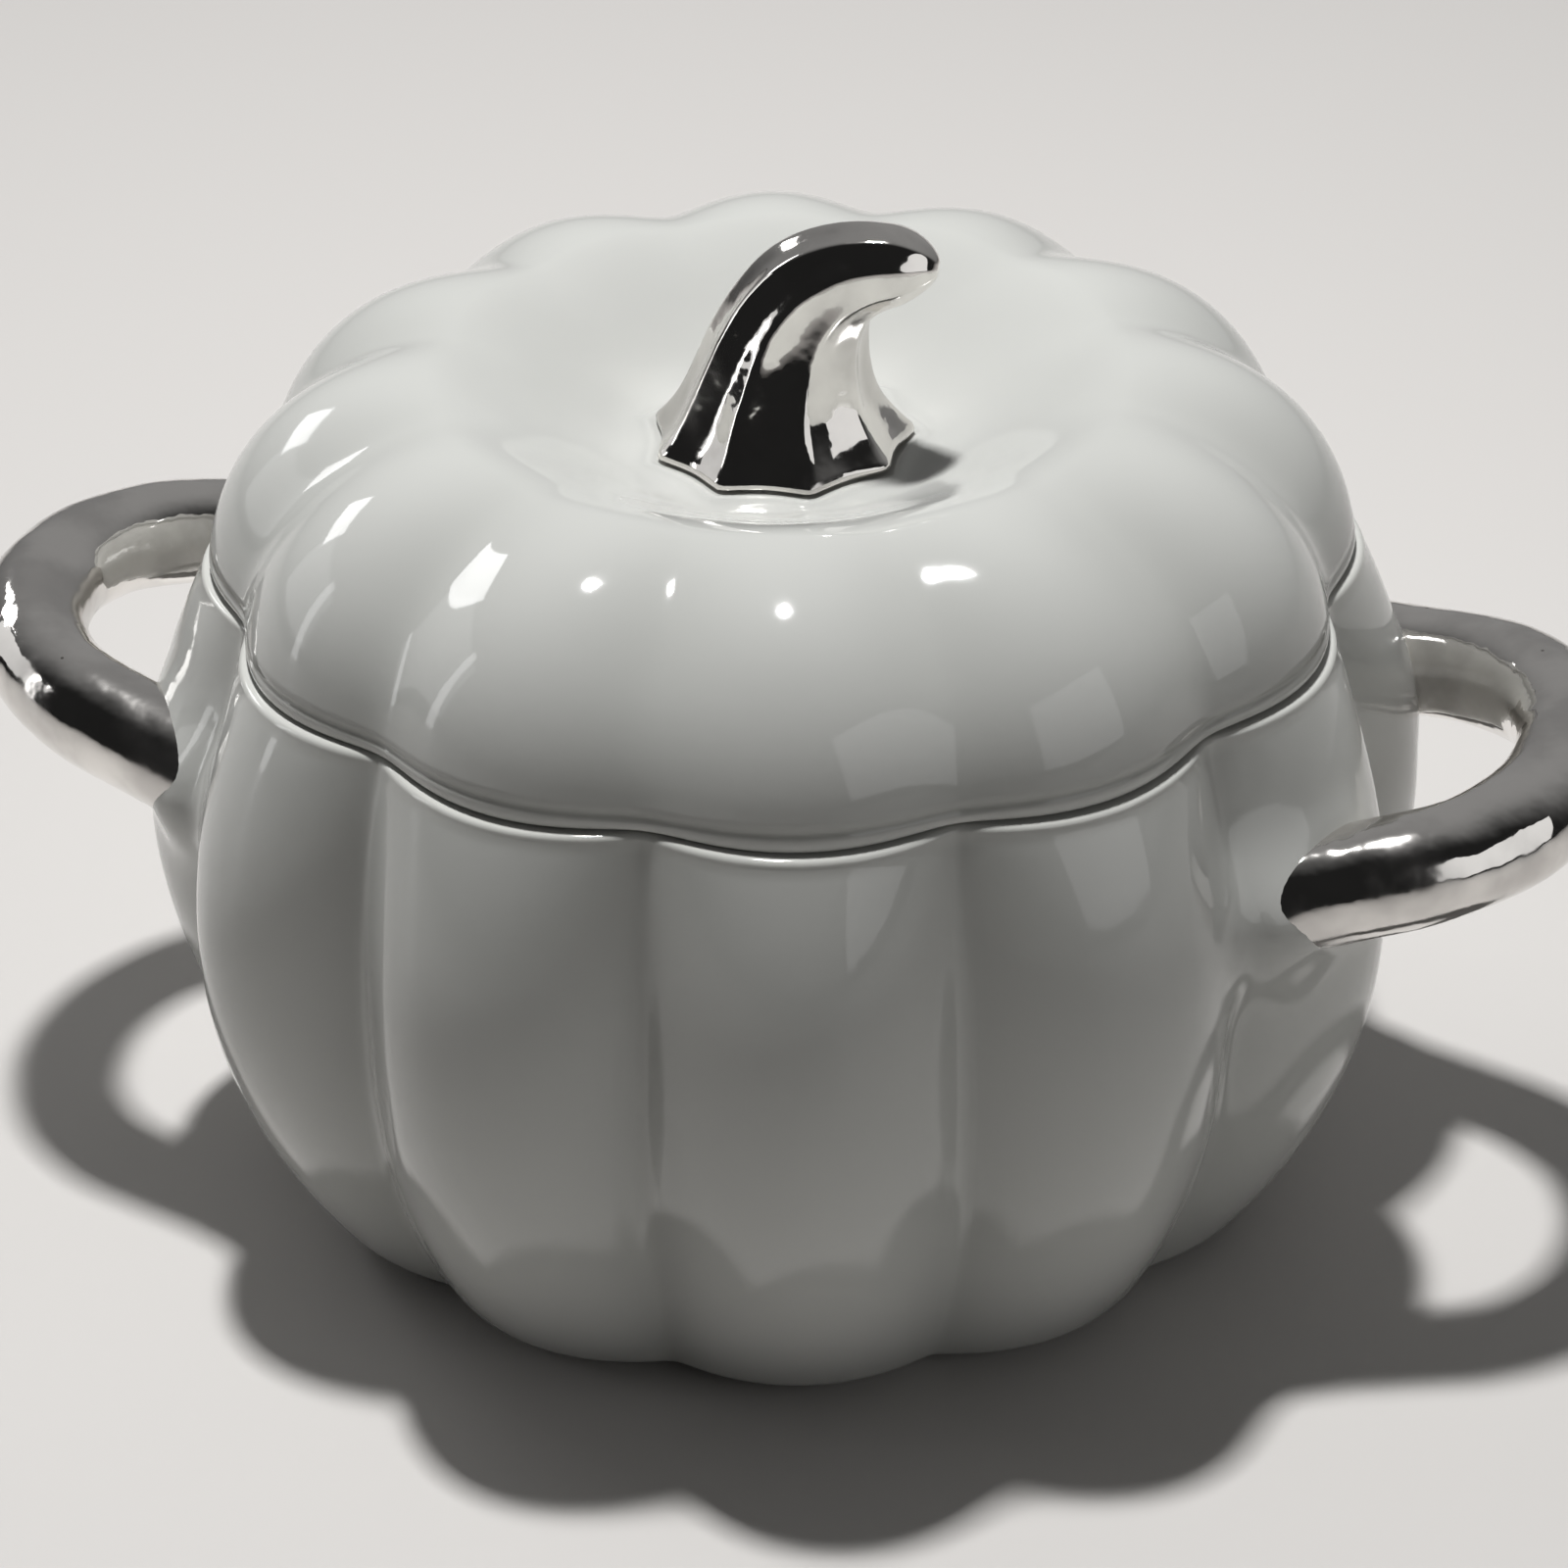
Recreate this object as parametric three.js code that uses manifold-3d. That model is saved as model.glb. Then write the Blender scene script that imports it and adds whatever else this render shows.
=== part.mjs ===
// Lidded pumpkin tureen: a lobed stoneware bowl and lid, two loop handles and a curled stem knob.
// Millimetres, +Z up. The origin is where the bowl's axis meets the table.
// The handles lie on +X and -X, and the stem curls towards +X.
import * as THREE from "three";
import { mergeVertices } from "three/addons/utils/BufferGeometryUtils.js";
import Module from "manifold-3d";

const wasm = await Module();
wasm.setup();

// ---- Driving dimensions ----

// Lobes, shared by the bowl and the lid
const LOBES = 12;
const LOBE_ANGLE = Math.PI / LOBES; // a lobe's crown stands here, so that a furrow faces each handle
const FACES_PER_LOBE = 6;
const LOBE_SHARPNESS = 0.8; // under 1 rounds the crowns and tightens the furrows

// Bowl
const BELLY_R = 100; // over the crowns of the lobes
const BELLY_Z = 60;
const BASE_STEP = 21.6; // the lobes roll under this far inside the belly
const RIM_STEP = 10.9; // the rim stands this far inside the belly
const BOWL_RIM_Z = 102.8;
const BELLY_FURROW = 10; // depth of the furrows at the belly
const BASE_FURROW = 3.8;
const RIM_FURROW = 5;
const BOWL_WALL = 5.5;
const BOWL_EDGE = 1.6; // rounding of the bowl's upper outer edge
const RIM_LEDGE = 8; // flat of the rim that the lid rests on, where a furrow makes it narrowest
const MOUTH_DEPTH = 8; // height of the straight part of the mouth
const FLOOR_THICKNESS = 6;

// Foot ring, under the bowl
const FOOT_STEP = 14.4; // the ring stands this far inside the base
const FOOT_WIDTH = 6;
const FOOT_HEIGHT = 0.9; // the lobes clear the table by this much
const FOOT_RECESS = 2.4; // the middle of the underside is raised by this much

// Lid
const LID_STEP = 1.5; // the lip stands this far inside the bowl's rim
const LID_FURROW = 3.7; // depth of the furrows
const LID_LIP = 2.4; // rounding of the lip
const LID_DOME = 31.2; // from the lid's seat to the top of the crowns
const LID_SHOULDER = 34.3; // width of the shoulder, from the lip to where the crowns are highest
const LID_WALL = 5.2;
const FLANGE_WALL = 4;
const FLANGE_DEPTH = 6;
const FLANGE_CLEARANCE = 0.8; // between the lid's flange and the mouth, on the radius
const DIMPLE_DEPTH = 12.5; // from the crest down to the stem's seat
const DIMPLE_MARGIN = 5.6; // width of the flat dish around the stem's base

// Stem knob
const STEM_BASE_R = 21.4;
const STEM_NECK_R = 14.5;
const STEM_TIP_R = 5;
const STEM_FLARE = 0.09; // share of the stem's length over which its base flares out
const STEM_HEIGHT = 30.4; // from the seat to the middle of the tip
const STEM_LEAN = 24; // how far the tip reaches from the axis
const STEM_TIP_LENGTH = 0.14; // share of the stem's length that the rounded tip takes
const STEM_FLUTES = 9;
const STEM_FLUTE_DEPTH = 1.6; // at the base
const STEM_WALL = 5;
const STEM_HOLLOW_HEIGHT = 15;

// Handles
const HANDLE_R = 8.6; // half the thickness of the loop
const HANDLE_REACH = 22; // the loop's centre line beyond the belly
const HANDLE_SPAN = 67.4; // between the centres of a handle's two roots
const HANDLE_DROP = 28.6; // from the bowl's rim down to the middle of the roots
const HANDLE_RISE = 6.8; // the loop's outer end stands this much higher
const HANDLE_EMBED = 22; // the loop is drawn this far inside the belly before it is cut to the bowl
const HANDLE_SQUARENESS = 0.75; // under 1 makes the loop squarer than an ellipse

// Clearance between pieces that touch
const GAP = 0.3;
const FURROW_GAP = 0.4; // radial clearance that leaves GAP on the sloping side of a furrow

// ---- Sizes that follow ----

const SEGMENTS = LOBES * FACES_PER_LOBE;
const BASE_R = BELLY_R - BASE_STEP;
const FOOT_R = BASE_R - FOOT_STEP;
const BOWL_RIM_R = BELLY_R - RIM_STEP;
const MOUTH_R = BOWL_RIM_R - RIM_FURROW - RIM_LEDGE;
const SEAT_Z = BOWL_RIM_Z + GAP; // underside of the lid's lip
const LID_R = BOWL_RIM_R - LID_STEP;
const LID_CREST_R = LID_R - LID_SHOULDER;
const CREST_Z = SEAT_Z + LID_DOME;
const DIMPLE_R = STEM_BASE_R + DIMPLE_MARGIN;
const DIMPLE_Z = CREST_Z - DIMPLE_DEPTH;
const FLANGE_R = MOUTH_R - FLANGE_CLEARANCE;
const STEM_Z = DIMPLE_Z + GAP;
const STEM_BORE_R = STEM_BASE_R - STEM_WALL * 2;
const HANDLE_Z = BOWL_RIM_Z - HANDLE_DROP;

// ---- Materials ----

const glaze = new THREE.MeshStandardMaterial({ color: 0xb4b8b0, roughness: 0.12, metalness: 0 });
const lustre = new THREE.MeshStandardMaterial({ color: 0xb9b4ae, roughness: 0.08, metalness: 1 });

// ---- Solids ----

function toSolid(geometry) {
  const bare = geometry.clone();
  bare.deleteAttribute("normal");
  bare.deleteAttribute("uv");
  const merged = mergeVertices(bare, 1e-4);
  const mesh = new wasm.Mesh({
    numProp: 3,
    vertProperties: new Float32Array(merged.attributes.position.array),
    triVerts: new Uint32Array(merged.index.array),
  });
  return new wasm.Manifold(mesh);
}

function toGeometry(solid) {
  const mesh = solid.getMesh();
  const geometry = new THREE.BufferGeometry();
  geometry.setAttribute("position", new THREE.BufferAttribute(new Float32Array(mesh.vertProperties), 3));
  geometry.setIndex(new THREE.BufferAttribute(new Uint32Array(mesh.triVerts), 1));
  geometry.computeVertexNormals();
  return geometry;
}

// How far a direction round the axis is from the furrow (0) to the crown (1) of its lobe.
function crownShare(angle) {
  return Math.abs(Math.cos((LOBES / 2) * (angle - LOBE_ANGLE))) ** LOBE_SHARPNESS;
}

// A turned body whose outline changes from one profile at the crowns to another in the furrows.
function lobedBody(crown, furrow) {
  const geometry = new THREE.LatheGeometry(crown, SEGMENTS);
  geometry.rotateX(Math.PI / 2);
  const position = geometry.attributes.position;
  for (let i = 0; i <= SEGMENTS; i++) {
    const angle = ((i % SEGMENTS) / SEGMENTS) * 2 * Math.PI - Math.PI / 2;
    const share = crownShare(angle);
    crown.forEach((point, j) => {
      const r = THREE.MathUtils.lerp(furrow[j].x, point.x, share);
      const z = THREE.MathUtils.lerp(furrow[j].y, point.y, share);
      position.setXYZ(i * crown.length + j, r * Math.cos(angle), r * Math.sin(angle), z);
    });
  }
  return geometry;
}

// The profile moved sideways by a distance, to the left of its direction.
function offsetProfile(points, distance) {
  return points.map((point, i) => {
    const before = points[Math.max(i - 1, 0)];
    const after = points[Math.min(i + 1, points.length - 1)];
    const along = after.clone().sub(before).normalize();
    return new THREE.Vector2(point.x - along.y * distance, point.y + along.x * distance);
  });
}

// ---- Bowl ----

// Outer side of the bowl from the base up to the rim. Furrow depths are zero for the crowns.
function bowlSide(baseFurrow, bellyFurrow, rimFurrow) {
  const { lerp } = THREE.MathUtils;
  const base = new THREE.Vector2(BASE_R, FOOT_HEIGHT);
  const belly = new THREE.Vector2(BELLY_R, BELLY_Z);
  const rim = new THREE.Vector2(BOWL_RIM_R, BOWL_RIM_Z - BOWL_EDGE);
  const rollOut = new THREE.Vector2(BELLY_R, lerp(base.y, belly.y, 0.44));
  const lower = new THREE.CubicBezierCurve(base, base, rollOut, belly);
  const upper = new THREE.CubicBezierCurve(
    belly,
    new THREE.Vector2(BELLY_R, lerp(belly.y, rim.y, 0.33)),
    new THREE.Vector2(lerp(belly.x, rim.x, 0.33), lerp(belly.y, rim.y, 0.64)),
    rim,
  );
  const lowerSide = lower.getSpacedPoints(9).map((point) => {
    const share = (point.y - base.y) / (belly.y - base.y);
    return new THREE.Vector2(point.x - lerp(baseFurrow, bellyFurrow, share), point.y);
  });
  const upperSide = upper.getSpacedPoints(5).map((point) => {
    const share = (point.y - belly.y) / (rim.y - belly.y);
    return new THREE.Vector2(point.x - lerp(bellyFurrow, rimFurrow, share ** 2), point.y);
  });
  return [...lowerSide, ...upperSide.slice(1)];
}

function bowlProfile(baseFurrow, bellyFurrow, rimFurrow) {
  const side = bowlSide(baseFurrow, bellyFurrow, rimFurrow);
  const rim = side[side.length - 1];
  const mouthBottom = BOWL_RIM_Z - MOUTH_DEPTH;
  const floorZ = FOOT_RECESS + FLOOR_THICKNESS;
  const inside = offsetProfile(side, BOWL_WALL).filter(
    (point, i) => side[i].y > floorZ + BOWL_WALL / 2 && side[i].y < mouthBottom - BOWL_WALL / 2,
  );
  const floorEdge = inside[0].x - BOWL_WALL * 1.6;
  return [
    [0, FOOT_RECESS],
    [FOOT_R - FOOT_WIDTH - FOOT_RECESS / 2, FOOT_RECESS],
    [FOOT_R - FOOT_WIDTH, 0],
    [FOOT_R, 0],
    [FOOT_R + FOOT_HEIGHT / 2, FOOT_HEIGHT],
    ...side.map((point) => [point.x, point.y]),
    [rim.x - BOWL_EDGE * 0.3, BOWL_RIM_Z - BOWL_EDGE * 0.3],
    [rim.x - BOWL_EDGE, BOWL_RIM_Z],
    [MOUTH_R, BOWL_RIM_Z],
    [MOUTH_R, mouthBottom],
    ...inside.reverse().map((point) => [point.x, point.y]),
    [floorEdge, floorZ + BOWL_WALL * 0.25],
    [floorEdge - BOWL_WALL * 1.6, floorZ],
    [0, floorZ],
  ].map(([r, z]) => new THREE.Vector2(r, z));
}

function makeBowl() {
  return lobedBody(bowlProfile(0, 0, 0), bowlProfile(BASE_FURROW, BELLY_FURROW, RIM_FURROW));
}

// The bowl's outer shape without its hollow, grown by the clearance: what the handles are cut to.
function bowlEnvelope() {
  const closed = (side) => [
    new THREE.Vector2(0, side[0].y),
    ...side.map((point) => new THREE.Vector2(point.x + FURROW_GAP, point.y)),
    new THREE.Vector2(0, side[side.length - 1].y),
  ];
  const crown = closed(bowlSide(0, 0, 0));
  const furrow = closed(bowlSide(BASE_FURROW, BELLY_FURROW, RIM_FURROW));
  return toSolid(lobedBody(crown, furrow));
}

// ---- Lid ----

// Upper side of the lid from above the lip over the crest to the edge of the stem's seat.
function lidTop(furrowDepth) {
  const start = new THREE.Vector2(LID_R, SEAT_Z + LID_LIP);
  const crest = new THREE.Vector2(LID_CREST_R, CREST_Z);
  const seat = new THREE.Vector2(DIMPLE_R, DIMPLE_Z);
  const shoulder = new THREE.CubicBezierCurve(
    start,
    new THREE.Vector2(LID_R - 3, THREE.MathUtils.lerp(start.y, crest.y, 0.62)),
    new THREE.Vector2(LID_CREST_R + LID_SHOULDER * 0.25, CREST_Z),
    crest,
  );
  const dimple = new THREE.CubicBezierCurve(
    crest,
    new THREE.Vector2(THREE.MathUtils.lerp(LID_CREST_R, DIMPLE_R, 0.24), CREST_Z),
    new THREE.Vector2(THREE.MathUtils.lerp(LID_CREST_R, DIMPLE_R, 0.54), DIMPLE_Z),
    seat,
  );
  const crown = [...shoulder.getPoints(10), ...dimple.getPoints(6).slice(1)];
  const sunk = offsetProfile(crown, furrowDepth);
  return sunk.map((point, i) => {
    const share = THREE.MathUtils.smoothstep(crown[i].x, DIMPLE_R, LID_CREST_R);
    return crown[i].clone().lerp(point, Math.sqrt(share));
  });
}

function lidProfile(furrowDepth) {
  const top = lidTop(furrowDepth);
  const lip = top[0];
  const flangeInner = FLANGE_R - FLANGE_WALL;
  const crown = lidTop(0);
  const inside = offsetProfile(lidTop(furrowDepth * 0.7), LID_WALL).filter(
    (point, i) => crown[i].x < flangeInner + LID_WALL && crown[i].x > STEM_BORE_R + LID_WALL,
  );
  const ceiling = DIMPLE_Z - LID_WALL;
  return [
    [lip.x - LID_LIP, SEAT_Z],
    [lip.x - LID_LIP * 0.3, SEAT_Z + LID_LIP * 0.3],
    ...top.map((point) => [point.x, point.y]),
    [STEM_BORE_R, DIMPLE_Z],
    [STEM_BORE_R, ceiling],
    ...inside.reverse().map((point) => [point.x, Math.max(point.y, ceiling)]),
    [flangeInner, SEAT_Z + LID_WALL],
    [flangeInner, SEAT_Z - FLANGE_DEPTH],
    [FLANGE_R, SEAT_Z - FLANGE_DEPTH],
    [FLANGE_R, SEAT_Z],
    [lip.x - LID_LIP, SEAT_Z],
  ].map(([r, z]) => new THREE.Vector2(r, z));
}

function makeLid() {
  return lobedBody(lidProfile(0), lidProfile(LID_FURROW));
}

// ---- Stem knob ----

const stemLine = new THREE.CubicBezierCurve3(
  new THREE.Vector3(0, 0, STEM_Z),
  new THREE.Vector3(0, 0, STEM_Z + STEM_HEIGHT * 0.77),
  new THREE.Vector3(STEM_LEAN * 0.29, 0, STEM_Z + STEM_HEIGHT * 1.04),
  new THREE.Vector3(STEM_LEAN, 0, STEM_Z + STEM_HEIGHT),
);

function stemRadius(t) {
  const body = THREE.MathUtils.lerp(STEM_NECK_R, STEM_TIP_R, t);
  const flare = (STEM_BASE_R - STEM_NECK_R) * Math.exp(-t / STEM_FLARE);
  const tip = Math.max(t - (1 - STEM_TIP_LENGTH), 0) / STEM_TIP_LENGTH;
  return (body + flare) * Math.sqrt(1 - (tip * 0.96) ** 2);
}

// A round bar whose rings follow the stem's centre line; radiusAt(t, angle) gives its surface.
function stemBar(radiusAt, sides, rings, lastT, baseDrop) {
  const bar = new THREE.CylinderGeometry(1, 1, 1, sides, rings);
  const position = bar.attributes.position;
  const place = new THREE.Vector3();
  for (let i = 0; i < position.count; i++) {
    const level = position.getY(i) + 0.5;
    const t = lastT * Math.sin((level * Math.PI) / 2) ** 1.2;
    const spread = Math.hypot(position.getX(i), position.getZ(i));
    const angle = Math.atan2(position.getX(i), position.getZ(i));
    const along = stemLine.getTangent(t);
    const upright = THREE.MathUtils.smoothstep(t, 0, 0.15);
    along.lerp(new THREE.Vector3(0, 0, 1), 1 - upright).normalize();
    const across = new THREE.Vector3(along.z, 0, -along.x);
    const r = radiusAt(t, angle) * Math.min(spread, 1);
    place.copy(stemLine.getPoint(t));
    place.addScaledVector(across, r * Math.cos(angle));
    place.y += r * Math.sin(angle);
    if (level < 1e-6) place.z -= baseDrop;
    position.setXYZ(i, place.x, place.y, place.z);
  }
  return bar;
}

function makeStem() {
  const fluted = (t, angle) => {
    const depth = STEM_FLUTE_DEPTH * (1 - t * 0.6);
    return stemRadius(t) - depth * Math.abs(Math.sin((STEM_FLUTES * angle) / 2));
  };
  const hollowTop = STEM_HOLLOW_HEIGHT / STEM_HEIGHT / 2;
  const hollow = (t) => {
    const r = Math.min(STEM_BORE_R, stemRadius(t) - STEM_WALL);
    return r * Math.sqrt(1 - (t / hollowTop / 1.08) ** 2);
  };
  const outside = toSolid(stemBar(fluted, STEM_FLUTES * 6, 20, 1, 0));
  const inside = toSolid(stemBar(hollow, 24, 6, hollowTop, 1));
  return toGeometry(outside.subtract(inside));
}

// ---- Handles ----

// Half loop that leaves the bowl at one root and comes back at the other.
class LoopCurve extends THREE.Curve {
  constructor(side) {
    super();
    this.side = side;
  }

  getPoint(t, target = new THREE.Vector3()) {
    const angle = (t - 0.5) * Math.PI;
    const bulge = Math.max(Math.cos(angle), 0);
    const start = BELLY_R - HANDLE_EMBED;
    const x = start + (HANDLE_EMBED + HANDLE_REACH) * bulge ** HANDLE_SQUARENESS;
    const y = (HANDLE_SPAN / 2) * Math.sin(angle);
    return target.set(this.side * x, this.side * y, HANDLE_Z + HANDLE_RISE * bulge);
  }
}

function makeHandle(side, envelope) {
  const section = new THREE.Shape().absarc(0, 0, HANDLE_R, 0, 2 * Math.PI);
  const loop = new THREE.ExtrudeGeometry(section, {
    steps: 30,
    curveSegments: 9,
    extrudePath: new LoopCurve(side),
    bevelEnabled: false,
  });
  return toGeometry(toSolid(loop).subtract(envelope));
}

// ---- Assembly ----

const tureen = new THREE.Group();

function addPiece(group, name, geometry, material) {
  const mesh = new THREE.Mesh(geometry, material);
  mesh.name = name;
  group.add(mesh);
}

const pot = new THREE.Group();
const envelope = bowlEnvelope();
addPiece(pot, "bowl", makeBowl(), glaze);
addPiece(pot, "handle_right", makeHandle(1, envelope), lustre);
addPiece(pot, "handle_left", makeHandle(-1, envelope), lustre);

const cover = new THREE.Group();
addPiece(cover, "lid", makeLid(), glaze);
addPiece(cover, "stem_knob", makeStem(), lustre);

tureen.add(pot, cover);

export default tureen;
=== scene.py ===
import math

import bmesh
import bpy
from mathutils import Matrix, Vector, noise
from mathutils.bvhtree import BVHTree
from mathutils.geometry import interpolate_bezier


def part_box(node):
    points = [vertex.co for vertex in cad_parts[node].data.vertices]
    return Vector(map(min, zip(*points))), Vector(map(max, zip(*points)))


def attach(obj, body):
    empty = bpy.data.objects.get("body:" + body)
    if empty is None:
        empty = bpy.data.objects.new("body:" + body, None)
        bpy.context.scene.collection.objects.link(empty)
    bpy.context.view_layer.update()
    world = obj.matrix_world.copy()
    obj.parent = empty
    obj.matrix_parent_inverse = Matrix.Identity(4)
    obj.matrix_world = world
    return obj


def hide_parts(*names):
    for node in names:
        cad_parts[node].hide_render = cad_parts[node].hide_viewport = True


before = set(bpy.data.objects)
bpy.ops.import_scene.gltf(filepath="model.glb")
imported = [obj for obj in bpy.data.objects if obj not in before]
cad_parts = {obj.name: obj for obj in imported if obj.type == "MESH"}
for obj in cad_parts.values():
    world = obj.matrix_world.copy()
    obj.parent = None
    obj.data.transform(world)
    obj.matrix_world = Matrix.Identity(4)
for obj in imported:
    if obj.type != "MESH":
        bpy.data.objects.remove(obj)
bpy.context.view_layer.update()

# ---- Sizes in metres. Heights come from the frame, so that the pieces follow it. ----

bowl_low, bowl_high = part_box("bowl")
lid_low, lid_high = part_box("lid")
stem_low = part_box("stem_knob")[0]
loop_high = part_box("handle_right")[1]

LOBES = 12
LOBE = 2 * math.pi / LOBES  # a furrow faces each handle
LOBE_SHARPNESS = 0.8
BOWL_ROUNDING = 0.12  # softens the bottom of a furrow over about 2 mm
LID_ROUNDING = 0.4  # the lid's glaze lies thick, so its furrows are wide and soft
STEPS_PER_LOBE = 28

BELLY_R = 0.1
BELLY_Z = 0.06
BASE_R = 0.0784
RIM_R = 0.0891
RIM_Z = bowl_high.z
BASE_FURROW = 0.0038
BELLY_FURROW = 0.01
RIM_FURROW = 0.005
BOWL_WALL = 0.0055
RIM_EDGE = 0.001
MOUTH_R = 0.0761
MOUTH_DEPTH = 0.008
FLOOR_Z = 0.0084
FOOT_R = 0.064
FOOT_WIDTH = 0.006
FOOT_HEIGHT = 0.0009
FOOT_RECESS = 0.0024
SIDE_START_Z = 0.0045  # the base rolls into the side up to this height
INNER_SIDE_Z = FLOOR_Z + 0.009  # the bowl's inside runs parallel to its side between these
INNER_SIDE_TOP = RIM_Z - MOUTH_DEPTH - 0.006

GAP = 0.0003
SEAT_Z = RIM_Z + GAP
LID_R = 0.0876
LID_FURROW = 0.0037
LID_LIP = 0.0024
CREST_R = 0.0533
CREST_Z = lid_high.z
LID_WALL = 0.0052
FLANGE_R = 0.0753
FLANGE_WALL = 0.004
FLANGE_Z = lid_low.z
LIP_GROOVE = 0.0003
LIP_ROUND = 0.0009
# The groove that sets the lip off from the shoulder: share of its depth, height above the lip.
LIP_GROOVE_STEPS = ((0.5, 0.0003), (0.95, 0.0007), (1, 0.0011), (0.75, 0.0015))
FURROW_START = 0.038  # a furrow of the lid fades in between these distances from the axis
FURROW_FULL = 0.079
DISH_R = 0.0235
DISH_Z = stem_low.z - GAP
BORE_R = 0.0114

STEM_BASE_R = 0.0214
STEM_NECK_R = 0.0145
STEM_TIP_R = 0.005
STEM_FLARE = 0.09
STEM_LEAN = 0.024
STEM_HEIGHT = 0.0304
STEM_TIP_LENGTH = 0.14
STEM_FLUTES = 9
STEM_FLUTE_DEPTH = 0.002
STEM_TURN = math.radians(16)  # where the first ridge stands
STEM_EDGE = 0.0014
STEM_HOLLOW = 0.015

HANDLE_R = 0.0086
HANDLE_REACH = loop_high.x - HANDLE_R
HANDLE_START = 0.078
HANDLE_FIRST = 0.135  # share of the loop at which the bar leaves the bowl
HANDLE_SEGMENTS = 48
HANDLE_SPAN = 0.0674
HANDLE_RISE = 0.0068
HANDLE_Z = loop_high.z - HANDLE_R - HANDLE_RISE
HANDLE_SQUARENESS = 0.75
ROOT_BOSS = Vector((0.0895, 0.042, 0.073))  # clay that fills the furrow beside each handle root
ROOT_BOSS_REACH = 0.0115
ROOT_AXIS = Vector((0.0925, 0.0325, 0.0755))  # where the bar's middle enters the bowl
ROOT_COLLAR = 0.0006  # how far the clay and glaze stand up around the bar
ROOT_COLLAR_REACH = 0.006

MERGE = 1e-6

# How close together the slow waves of a hand-made form lie, and how high they are.
BOWL_WAVES = (24, 0.0003)
HANDLE_WAVES = (55, 0.00022)
STEM_WAVES = (90, 0.00018)

# The glaze around the stem's foot: its rise and width, and the place and width of the wave.
RIPPLE_RISE = 0.0005
RIPPLE_WIDTH = 0.0011
RIPPLE_WAVE_OUT = 0.0045
RIPPLE_WAVE_WIDTH = 0.0032

HANDLE_RINGS = 72
STEM_RINGS = 80
PROBE = 0.01  # a probe for the bowl's surface starts this far before a handle's ring
SHORT_OF_BOWL = 0.0002
INTO_BOWL = 0.0015

# Colours of the glaze, the bare clay and the lustre.
SAGE_DEEP = (0.405, 0.408, 0.39, 1)
SAGE_PALE = (0.445, 0.448, 0.43, 1)
SAGE_POOLED = (0.3, 0.305, 0.285, 1)
SAGE_THIN = (0.6, 0.6, 0.565, 1)
GLAZE_SPECK = (0.16, 0.16, 0.14, 1)
CLAY_DEEP = (0.5, 0.46, 0.4, 1)
CLAY_PALE = (0.56, 0.52, 0.46, 1)
PLATINUM = (0.83, 0.805, 0.775, 1)
PLATINUM_WORN = (0.6, 0.58, 0.56, 1)
LUSTRE_SPECK = (0.3, 0.28, 0.26, 1)
FLOOR_COLOUR = (0.5, 0.485, 0.47, 1)

CAMERA_TURN = math.radians(13.7)
CAMERA_HEIGHT = math.radians(32.03)
CAMERA_ROLL = math.radians(-0.66)
CAMERA_DISTANCE = 0.756
CAMERA_LENS = 109.75
CAMERA_SHIFT = -0.0011
CAMERA_AIM = Vector((0, 0, 0.06))


def lerp(a, b, share):
    return a + (b - a) * share


def smoothstep(value, low, high):
    share = min(max((value - low) / (high - low), 0), 1)
    return share * share * (3 - 2 * share)


# ---- Making meshes ----


def finish_piece(bm, name, body, material, node):
    bmesh.ops.remove_doubles(bm, verts=bm.verts, dist=MERGE)
    bmesh.ops.recalc_face_normals(bm, faces=bm.faces)
    mesh = bpy.data.meshes.new(name)
    bm.to_mesh(mesh)
    bm.free()
    mesh.shade_smooth()
    mesh.materials.append(material)
    piece = bpy.data.objects.new(name, mesh)
    bpy.context.scene.collection.objects.link(piece)
    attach(piece, body)
    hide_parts(node)


def hand_form(bm, closeness, height):
    """Slow unevenness of a form that was cast, fettled and glazed by hand. The foot stays flat."""
    bm.normal_update()
    for vert in bm.verts:
        free = smoothstep(vert.co.z, FOOT_HEIGHT, FLOOR_Z)
        vert.co += vert.normal * noise.noise(vert.co * closeness) * height * free


def offset_outline(points, distance):
    """The outline moved sideways, to the left of its direction."""
    moved = []
    for i, point in enumerate(points):
        along = points[min(i + 1, len(points) - 1)] - points[max(i - 1, 0)]
        along.normalize()
        moved.append(point + Vector((-along.y, along.x)) * distance)
    return moved


def crown_share(angle, rounding):
    """0 in a furrow, 1 on the crown of a lobe, with the furrow's bottom rounded."""
    wave = math.cos(LOBES / 2 * angle - math.pi / 2) ** 2
    soft = rounding**2
    power = LOBE_SHARPNESS / 2
    return ((wave + soft) ** power - soft**power) / ((1 + soft) ** power - soft**power)


def gathered(angle):
    """Moves a ring's even steps closer together towards the furrows."""
    lobe = math.floor(angle / LOBE)
    across = (angle / LOBE - lobe) * 2 - 1
    across = lerp(across, math.sin(across * math.pi / 2), 0.6)
    return (lobe + (across + 1) / 2) * LOBE


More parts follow.
